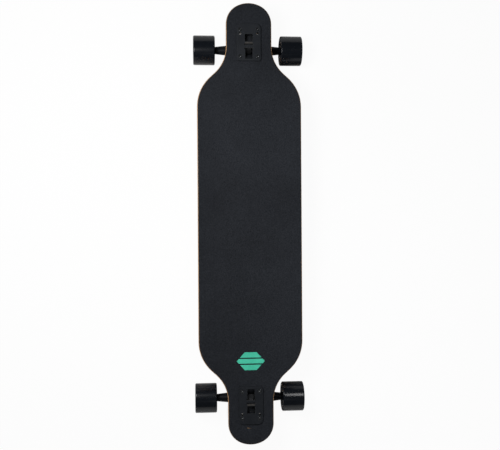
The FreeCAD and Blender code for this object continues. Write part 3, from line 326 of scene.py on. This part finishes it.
def maple_material():
    """Lacquered maple: grain along the board, plies round the edge, darker walls at the tips and painted
    shade on the walls of the holes.
    """
    made = Material("maple", coat_weight=0.25, coat_roughness=0.25, specular_ior_level=0.4)
    axes = made.axes()
    depth = ply_depth(made, axes)
    layer = made.math("MULTIPLY", made.math("ADD", depth, PLY_SKIN), PLIES / (DECK_THICKNESS + 2 * PLY_SKIN))
    odd = made.math("MODULO", made.math("FLOOR", layer), 2.0)
    seam = made.math("ABSOLUTE", made.math("SUBTRACT", made.math("FRACT", layer), 0.5))
    glue = made.ramp(seam, (0.40, 1.0), (0.49, 0.45))
    long_grain = made.noise(1.0, detail=6.0, rough=0.62, place=made.stretched((150.0, 5.0, 150.0)))
    pores = made.noise(1.0, detail=3.0, rough=0.7, place=made.stretched((900.0, 28.0, 900.0)))
    figure = made.noise(1.0, place=made.stretched((22.0, 1.6, 22.0)))
    face = made.ramp(long_grain, (0.30, (0.50, 0.275, 0.125)), (0.55, (0.62, 0.37, 0.18)),
                     (0.8, (0.70, 0.45, 0.24)))
    face = made.mix(0.5, face, made.ramp(pores, (0.35, 0.72), (0.6, 1.0)), "MULTIPLY")
    face = made.mix(0.6, face, made.ramp(figure, (0.35, 0.84), (0.65, 1.08)), "MULTIPLY")
    end_grain = made.noise(1.0, detail=4.0, rough=0.7, place=made.stretched((500.0, 500.0, 900.0)))
    cross = made.ramp(end_grain, (0.3, (0.33, 0.165, 0.07)), (0.7, (0.47, 0.26, 0.12)))
    wood = made.mix(1.0, made.mix(odd, face, cross), glue, "MULTIPLY")
    under_grip = made.ramp(made.math("MULTIPLY", depth, 1 / RAW_DEPTH), (0.4, RAW_TONE), (0.9, 1.0))
    wood = made.mix(1.0, wood, under_grip, "MULTIPLY")
    # Painted shade on the walls of the holes; the walls of the tips darker
    made.colour(made.mix(tip_dark_and_hole_shade_share(made, axes), wood, TIP_DARK_AND_HOLE_SHADE))
    made.roughness(pores, 0.34, 0.52)
    made.bump(pores, depth=0.0002, strength=0.25)
    return made.material


def badge_material():
    """Green print on a smooth film, a little dusty."""
    made = Material("badge_green", specular_ior_level=0.4)
    print_dots = made.noise(1500.0)
    dust = made.noise(60.0, detail=4.0, rough=0.7)
    made.colour(made.ramp(dust, (0.3, (0.046, 0.510, 0.332)), (0.7, (0.070, 0.620, 0.410))))
    made.roughness(print_dots, 0.42, 0.6)
    made.bump(print_dots, depth=0.0001, strength=0.3)
    return made.material


def casting_material(name, dark, light, wear_and_highlight_tone, gloss, lighter_rib=False):
    """Cast metal under satin black paint: fine orange peel, painted shade in the hollows, worn edges that
    also stand in for painted edge highlights.
    """
    made = Material(name, specular_ior_level=gloss)
    peel = made.noise(650.0, detail=3.0, rough=0.55)
    flow = made.noise(35.0, detail=3.0)
    paint = made.ramp(flow, (0.3, dark), (0.7, light))
    # Ambient occlusion darkens the paint in pockets and grooves: painted shade
    hollows = made.node("ShaderNodeAmbientOcclusion", {"Distance": 0.008}, samples=OCCLUSION_SAMPLES)
    hollow_painted_shade = made.ramp(hollows.outputs["AO"], (0.3, 0.25), (0.85, 1.0))
    paint = made.mix(1.0, paint, hollow_painted_shade, "MULTIPLY")
    # Lighter paint along all edges: partly wear, partly painted edge highlights
    patchy_wear_and_highlight = made.math("MULTIPLY", made.edges(0.0009), made.noise(120.0, detail=3.0, rough=0.6))
    worn = made.ramp(patchy_wear_and_highlight, (0.02, 0.0), (0.16, 1.0))
    paint = made.mix(worn, paint, wear_and_highlight_tone)
    if lighter_rib:
        paint = made.mix(rib_share(made), paint, RIB_TONE)
    made.colour(paint)
    made.roughness(flow, 0.42, 0.54)
    made.bump(peel, depth=0.00025, strength=0.25, edge=0.0007)
    return made.material


def rib_share(made):
    """A patchy lighter share on the cross rib between the two pockets of a baseplate."""
    axes = made.axes()
    from_middle = made.math("ABSOLUTE", axes["Y"])
    from_rib = made.math("ABSOLUTE", made.math("SUBTRACT", from_middle, RIB_MIDDLE))
    across = made.math("ABSOLUTE", axes["X"])
    on_rib = made.math("MULTIPLY", made.math("LESS_THAN", from_rib, RIB_HALF),
                       made.math("LESS_THAN", across, RIB_REACH))
    on_top = made.math("GREATER_THAN", axes["Z"], RIB_LOW)
    lighter_patch = made.ramp(made.noise(700.0, detail=3.0, rough=0.6), (0.25, 0.55), (0.6, 1.0))
    return made.math("MULTIPLY", made.math("MULTIPLY", on_rib, on_top), lighter_patch)


def dome_lean(made):
    """How far normals lean away from the middle of each mounting bolt, as on a slightly domed head."""
    axes = made.axes()
    across = made.folded(axes["X"], BOLT_ACROSS / 2)
    along = made.folded(made.folded(axes["Y"], BOLT_MIDDLE), BOLT_ALONG / 2)
    spot = made.flat_vector(across, along)
    reach = made.vector("LENGTH", spot, result="Value")
    slope = made.math("MULTIPLY", made.math("LESS_THAN", reach, BOLT_HEAD), 1 / BOLT_DOME)
    lean = made.node("ShaderNodeVectorMath", {0: spot, "Scale": slope}, operation="SCALE").outputs["Vector"]
    turned = {"vector_type": "VECTOR", "convert_from": "OBJECT", "convert_to": "WORLD"}
    return made.node("ShaderNodeVectorTransform", {0: lean}, **turned).outputs[0]


def bolt_material(name, dark, light, smooth, rough):
    """Dark zinc on a screw head."""
    made = Material(name, metallic=1.0)
    wear = made.noise(2400.0)
    made.colour(made.ramp(wear, (0.35, dark), (0.75, light)))
    made.roughness(wear, smooth, rough)
    made.bump(wear, depth=0.0001, strength=0.2, edge=0.0002, lean=dome_lean(made))
    return made.material


def steel_material(name, dark, light, smooth, rough, edge):
    """Bare or plated steel with faint turning marks."""
    made = Material(name, metallic=1.0)
    turning = made.noise(1.0, rough=0.6, place=made.stretched((2600.0, 500.0, 500.0)))
    tarnish = made.noise(140.0, detail=3.0, rough=0.6)
    made.colour(made.ramp(tarnish, (0.3, dark), (0.7, light)))
    made.roughness(turning, smooth, rough)
    made.bump(turning, depth=0.00006, strength=0.3, edge=edge)
    return made.material


def urethane_material():
    """Glossy black urethane with fine rings from the mould and the road."""
    made = Material("urethane", specular_ior_level=0.22)
    rings = made.noise(1.0, detail=3.0, rough=0.65, place=made.stretched((1400.0, 6.0, 6.0)))
    scuffs = made.noise(90.0, detail=5.0, rough=0.7)
    made.colour(made.ramp(scuffs, (0.35, (0.0028, 0.0039, 0.0062)), (0.75, (0.0052, 0.0067, 0.0094))))
    made.roughness(rings, 0.15, 0.24)
    made.bump(rings, depth=0.00006, strength=0.25)
    return made.material


def plastic_material(name, dark, light, smooth, rough, grain):
    """Moulded plastic or rubber with a fine grain."""
    made = Material(name)
    texture = made.noise(grain, detail=3.0, rough=0.6)
    tone = made.noise(grain / 12, detail=3.0)
    made.colour(made.ramp(tone, (0.3, dark), (0.7, light)))
    made.roughness(texture, smooth, rough)
    made.bump(texture, depth=0.00015, strength=0.3, edge=0.0003)
    return made.material


def bushing_material():
    """Cast urethane, slightly milky, with light passing a little way in."""
    made = Material("bushing", subsurface_weight=0.25, subsurface_scale=0.004)
    cloud = made.noise(260.0, detail=3.0)
    made.colour(made.ramp(cloud, (0.3, (0.012, 0.012, 0.0135)), (0.7, (0.022, 0.022, 0.025))))
    made.roughness(made.noise(900.0), 0.32, 0.48)
    made.bump(cloud, depth=0.0001, strength=0.2)
    return made.material


materials = {
    "maple": maple_material(),
    "grip": grip_material(),
    "badge_green": badge_material(),
    "black_casting": casting_material(
        "black_casting", dark=(0.0118, 0.0135, 0.0165), light=(0.0164, 0.0184, 0.0219),
        wear_and_highlight_tone=(0.075, 0.075, 0.077), gloss=0.10, lighter_rib=True),
    # A darker copy of the black casting, for the hangers
    "hanger_darker_casting": casting_material(
        "hanger_darker_casting", dark=(0.0034, 0.0040, 0.0054), light=(0.0052, 0.0060, 0.0076),
        wear_and_highlight_tone=(0.020, 0.020, 0.021), gloss=0.07),
    "black_bolt": bolt_material(
        "black_bolt", dark=(0.082, 0.085, 0.090), light=(0.125, 0.129, 0.135), smooth=0.12, rough=0.20),
    "kingpin_zinc": bolt_material(
        "kingpin_zinc", dark=(0.030, 0.031, 0.033), light=(0.045, 0.046, 0.049), smooth=0.38, rough=0.50),
    "steel": steel_material(
        "steel", dark=(0.42, 0.43, 0.45), light=(0.60, 0.61, 0.63), smooth=0.24, rough=0.40, edge=0.0004),
    "bearing_steel": steel_material(
        "bearing_steel", dark=(0.60, 0.61, 0.63), light=(0.74, 0.75, 0.77),
        smooth=0.12, rough=0.24, edge=0.0002),
    "urethane": urethane_material(),
    "core_plastic": plastic_material(
        "core_plastic", dark=(0.012, 0.012, 0.014), light=(0.02, 0.02, 0.023),
        smooth=0.28, rough=0.42, grain=800.0),
    "cage_plastic": plastic_material(
        "cage_plastic", dark=(0.62, 0.58, 0.47), light=(0.76, 0.73, 0.62),
        smooth=0.4, rough=0.55, grain=900.0),
    "shield_rubber": plastic_material(
        "shield_rubber", dark=(0.010, 0.010, 0.011), light=(0.018, 0.018, 0.019),
        smooth=0.5, rough=0.7, grain=1200.0),
    "bushing": bushing_material(),
    "cup_plastic": plastic_material(
        "cup_plastic", dark=(0.016, 0.016, 0.017), light=(0.026, 0.026, 0.028),
        smooth=0.4, rough=0.55, grain=900.0),
    "nylon": plastic_material(
        "nylon", dark=(0.50, 0.52, 0.54), light=(0.66, 0.68, 0.70),
        smooth=0.35, rough=0.5, grain=1100.0),
}

# Pieces whose finish isn't that of their material slot, by name without the truck's end
OWN_FINISH = {"hanger": "hanger_darker_casting", "kingpin": "kingpin_zinc"}
for row in frame["record"]["subparts"]:
    node_mesh = frame["nodes"][row["node"]].data
    node_mesh.materials.clear()
    finish = OWN_FINISH.get(row["node"].split("_", 1)[-1], row["material_slot"])
    node_mesh.materials.append(materials[finish])


# Turned pieces

def finished(name, mesh, place, material):
    """Turn a bmesh into a smooth object at a place in the frame."""
    bmesh.ops.recalc_face_normals(mesh, faces=mesh.faces)
    for face in mesh.faces:
        face.smooth = True
    data = bpy.data.meshes.new(name)
    mesh.to_mesh(data)
    mesh.free()
    data.transform(place)
    data.materials.append(materials[material])
    piece = bpy.data.objects.new(name, data)
    bpy.context.scene.collection.objects.link(piece)
    return piece


def turned_vertex(mesh, radius, angle, height):
    return mesh.verts.new((radius * math.cos(angle), radius * math.sin(angle), height))


def turned_rings(mesh, profile):
    """The points of a profile, (radius, height) each, at every step round the local Z axis."""
    angles = [2 * math.pi * step / LATHE_STEPS for step in range(LATHE_STEPS)]
    return [[turned_vertex(mesh, radius, angle, height) for radius, height in profile] for angle in angles]


def lathe(name, profile, place, material):
    """A closed ring turned about the local Z axis; profile points are (radius, height)."""
    mesh = bmesh.new()
    rings = turned_rings(mesh, profile)
    for step, ring in enumerate(rings):
        following = rings[(step + 1) % LATHE_STEPS]
        for index in range(len(profile)):
            after = (index + 1) % len(profile)
            mesh.faces.new((ring[index], following[index], following[after], ring[after]))
    return finished(name, mesh, place, material)


def rounded(points, radius):
    """A closed profile with its corners rounded by arcs of about the given radius."""
    smooth = []
    for index, corner in enumerate(points):
        corner = Vector(corner)
        before = Vector(points[index - 1]) - corner
        after = Vector(points[(index + 1) % len(points)]) - corner
        reach = min(radius, before.length / 2, after.length / 2)
        first = corner + before.normalized() * reach
        last = corner + after.normalized() * reach
        for step in range(ROUNDING_STEPS + 1):
            share = step / ROUNDING_STEPS
            low = first.lerp(corner, share)
            high = corner.lerp(last, share)
            smooth.append(tuple(low.lerp(high, share)))
    return smooth


def helix(name, radius, pitch, length, place, material):
    """A screw thread: a three-sided ridge wound about the local Z axis from height zero."""
    mesh = bmesh.new()
    depth = half_width = THREAD_SHARE * pitch
    root = radius - depth / 2
    count = int(THREAD_STEPS * (length - pitch) / pitch)
    sections = []
    for step in range(count + 1):
        angle = 2 * math.pi * step / THREAD_STEPS
        fade = min(1.0, step / THREAD_FADE, (count - step) / THREAD_FADE)
        middle = pitch / 2 + pitch * step / THREAD_STEPS
        corners = ((root, -half_width), (radius + depth * fade, 0.0), (root, half_width))
        sections.append([turned_vertex(mesh, reach, angle, middle + rise) for reach, rise in corners])
    for first, second in zip(sections, sections[1:]):
        for index in range(3):
            after = (index + 1) % 3
            mesh.faces.new((first[index], second[index], second[after], first[after]))
    mesh.faces.new(sections[0])
    mesh.faces.new(reversed(sections[-1]))
    return finished(name, mesh, place, material)


# Bushings

def truck_frame(end):
    """The axle's centre, with Y outboard."""
    if end == "front":
        return Matrix.Translation(AXLE_PLACE)
    return Matrix.Rotation(math.pi, 4, "Z") @ Matrix.Translation(AXLE_PLACE)


def kingpin_frame(end, along):
    """A place on the kingpin's axis, whose Z runs outboard and down, at a distance from the ring's middle."""
    ring = Vector((0.0, RING_OFFSET * math.cos(STEER_ANGLE), RING_OFFSET * math.sin(STEER_ANGLE)))
    turn = Matrix.Rotation(math.pi + STEER_ANGLE, 4, "X")
    return truck_frame(end) @ Matrix.Translation(ring) @ turn @ Matrix.Translation((0.0, 0.0, along))


def bushing_profile(small, height):
    """Half section of a bushing from the washer at height zero to the hanger, gently bulging."""
    large, edge, inset = BUSHING_RADIUS, BUSHING_EDGE, EDGE_MIDDLE
    points = [(BUSHING_BORE, BORE_CHAMFER), (BORE_MOUTH, 0.0)]
    points += [(small - edge, 0.0), (small - inset, inset), (small, edge)]
    for step in range(1, SIDE_STEPS):
        share = step / SIDE_STEPS
        radius = small + (large - small) * share + BUSHING_BULGE * math.sin(math.pi * share)
        points.append((radius, edge + (height - 2 * edge) * share))
    points += [(large, height - edge), (large - inset, height - inset), (large - edge, height)]
    points += [(BORE_MOUTH, height), (BUSHING_BORE, height - BORE_CHAMFER)]
    for step in range(1, BORE_STEPS):
        points.append((BUSHING_BORE, height * (1 - step / BORE_STEPS)))
    return points


def add_bushing(end, kind, small, height, washer, turned_over):
    """A urethane bushing on the kingpin from its washer, in place of the CAD bushing."""
    place = kingpin_frame(end, washer)
    if turned_over:
        place = place @ Matrix.Rotation(math.pi, 4, "X")
    piece = lathe(f"{end}_{kind}_urethane", bushing_profile(small, height), place, "bushing")
    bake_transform(piece)
    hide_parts(f"{end}_{kind}_bushing")


for end in ENDS:
    add_bushing(end, "boardside", BUSHING_RADIUS, BARREL_HEIGHT, -RING_SEAT - BARREL_HEIGHT, False)
    add_bushing(end, "roadside", CONE_RADIUS, CONE_HEIGHT, RING_SEAT + CONE_HEIGHT, True)


# Locking rings and screw threads on the nuts

def add_lock(name, body, place, rod_radius, outer, height):
    """A nylon locking ring on the end of a nut, round the rod in it."""
    hole = rod_radius + LOCK_GAP
    corners = [(hole, 0.0), (outer, 0.0), (LOCK_TAPER * outer, height), (hole, height)]
    ring = lathe(name, rounded(corners, LOCK_ROUNDING * height), place, "nylon")
    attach(ring, body)


def add_thread(name, body, radius, pitch, length, place):
    ridge = helix(name, radius, pitch, length, place, "steel")
    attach(ridge, body)


for end in ENDS:
    nut_end = kingpin_frame(end, RING_SEAT + CONE_HEIGHT + WASHER_THICKNESS + KINGPIN_NUT_HEIGHT)
    add_lock(f"{end}_kingpin_lock", "board", nut_end, KINGPIN_RADIUS, **KINGPIN_LOCK)
    add_thread(f"{end}_kingpin_thread", "board", KINGPIN_RADIUS, KINGPIN_PITCH, KINGPIN_TAIL, nut_end)
    truck = f"{end}_truck"
    low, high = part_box(f"{end}_axle")
    middle = (low + high) / 2
    for side, reach in (("left", low.x + AXLE_TAIL), ("right", high.x - AXLE_TAIL)):
        out = math.copysign(math.pi / 2, reach)
        place = Matrix.Translation((reach, middle.y, middle.z)) @ Matrix.Rotation(out, 4, "Y")
        name = f"{end}_{side}_axle"
        add_lock(f"{name}_lock", truck, place, AXLE_RADIUS, **AXLE_LOCK)
        add_thread(f"{name}_thread", truck, AXLE_THREAD_RADIUS, AXLE_PITCH, AXLE_TAIL, place)

nut_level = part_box("mounting_nuts")[0].z
for end, way in (("front", 1), ("rear", -1)):
    for line, along in (("inboard", -BOLT_ALONG / 2), ("outboard", BOLT_ALONG / 2)):
        for side, x in (("left", -BOLT_ACROSS / 2), ("right", BOLT_ACROSS / 2)):
            spot = Vector((x, way * (BOLT_MIDDLE + along), nut_level))
            place = Matrix.Translation(spot) @ Matrix.Rotation(math.pi, 4, "X")
            name = f"{end}_{line}_{side}_mount"
            add_lock(f"{name}_lock", "board", place, BOLT_RADIUS, **BOLT_LOCK)
            add_thread(f"{name}_thread", "board", BOLT_RADIUS, BOLT_PITCH, BOLT_TAIL, place)


# Stage, light and camera

def floor_material():
    """White paper that shows white to the camera and in reflections, but for shade under the board."""
    made = Material("floor_paper", roughness=1.0, specular_ior_level=0.0)
    made.shader.inputs["Base Color"].default_value = (FLOOR_TONE, FLOOR_TONE, FLOOR_TONE, 1.0)
    axes = made.axes()
    across = made.math("ABSOLUTE", axes["X"])
    along = made.math("ABSOLUTE", axes["Y"])

    def clear_of(shade):
        """Zero inside a shade and one outside it."""
        return made.math("MAXIMUM", made.span(across, shade["across"]), made.span(along, shade["along"]))

    from_truck = made.flat_vector(across, made.math("SUBTRACT", along, TRUCK_SHADE_MIDDLE))
    reach = made.vector("LENGTH", from_truck, result="Value")
    beside_truck = made.ramp(made.span(reach, TRUCK_SHADE), (0.0, TRUCK_SHADE_WHITE), (1.0, 1.0))
    beside_deck = made.ramp(clear_of(DECK_SHADE), (0.0, DECK_SHADE_WHITE), (1.0, 1.0))
    unshaded = made.math("MINIMUM", beside_truck, beside_deck)
    path = made.node("ShaderNodeLightPath").outputs
    looked_at = made.math("MULTIPLY", path["Is Camera Ray"], unshaded)
    reflected = made.math("MAXIMUM", path["Is Glossy Ray"], path["Is Transmission Ray"])
    mirrored = made.math("MULTIPLY", reflected, clear_of(WIDE_SHADE))
    share = made.math("MULTIPLY", made.math("MAXIMUM", looked_at, mirrored), FLOOR_WHITE)
    white = made.node("ShaderNodeEmission").outputs[0]
    mixed = made.node("ShaderNodeMixShader", {0: share, 1: made.shader.outputs[0], 2: white})
    made.feed(made.tree.nodes["Material Output"].inputs["Surface"], mixed.outputs[0])
    return made.material


def make_floor():
    """A wide white floor that curves up into a low wall all round, open to the sky."""
    profile = [(FLOOR_HUB, 0.0), (FLOOR_FLAT, 0.0)]
    for step in range(1, FLOOR_BEND_STEPS + 1):
        angle = math.pi / 2 * step / FLOOR_BEND_STEPS
        profile.append((FLOOR_FLAT + FLOOR_BEND * math.sin(angle), FLOOR_BEND * (1 - math.cos(angle))))
    profile.append((FLOOR_FLAT + FLOOR_BEND, FLOOR_HEIGHT))
    mesh = bmesh.new()
    middle = mesh.verts.new((0.0, 0.0, 0.0))
    rings = turned_rings(mesh, profile)
    for step, ring in enumerate(rings):
        following = rings[(step + 1) % LATHE_STEPS]
        mesh.faces.new((middle, ring[0], following[0]))
        for index in range(len(profile) - 1):
            mesh.faces.new((ring[index], ring[index + 1], following[index + 1], following[index]))
    materials["floor_paper"] = floor_material()
    floor = finished("floor", mesh, Matrix.Identity(4), "floor_paper")


def make_world():
    world = bpy.data.worlds.new("studio")
    world.use_nodes = True
    sky = world.node_tree.nodes["Background"]
    sky.inputs["Color"].default_value = SKY_COLOUR
    sky.inputs["Strength"].default_value = SKY_STRENGTH
    bpy.context.scene.world = world


def add_softbox(name, place, aim, width, height, power, spread=math.pi):
    lamp = bpy.data.lights.new(name, "AREA")
    lamp.spread = spread
    lamp.shape = "RECTANGLE"
    lamp.size = width
    lamp.size_y = height
    lamp.energy = power
    holder = bpy.data.objects.new(name, lamp)
    holder.location = place
    holder.visible_camera = False
    holder.rotation_euler = (Vector(aim) - Vector(place)).to_track_quat("-Z", "Y").to_euler()
    bpy.context.scene.collection.objects.link(holder)


def make_camera():
    lens = bpy.data.cameras.new("camera")
    lens.lens = CAMERA_LENS
    lens.sensor_width = SENSOR_WIDTH
    lens.dof.use_dof = False
    camera = bpy.data.objects.new("camera", lens)
    back = (CAMERA_PLACE - CAMERA_AIM).normalized()
    up = Vector((math.sin(CAMERA_ROLL), math.cos(CAMERA_ROLL), 0.0))
    right = up.cross(back).normalized()
    up = back.cross(right)
    turn = Matrix((right, up, back)).transposed().to_4x4()
    camera.matrix_world = Matrix.Translation(CAMERA_PLACE) @ turn
    bpy.context.scene.collection.objects.link(camera)
    bpy.context.scene.camera = camera


make_floor()
make_world()
add_softbox("key_light", place=(-0.45, 0.26, 1.05), aim=(0.0, 0.07, 0.05), width=0.40, height=0.40,
            power=11.2)
add_softbox("strip_light", place=(0.355, 0.20, 1.57), aim=(0.355, -0.42, 0.05), width=0.13, height=0.5,
            power=0.4, spread=math.radians(50.0))
add_softbox("glint_light", place=(0.10, -0.80, 1.57), aim=(0.10, -0.42, 0.05), width=0.12, height=0.10,
            power=0.3)
make_camera()
bpy.context.scene.view_settings.view_transform = "Standard"
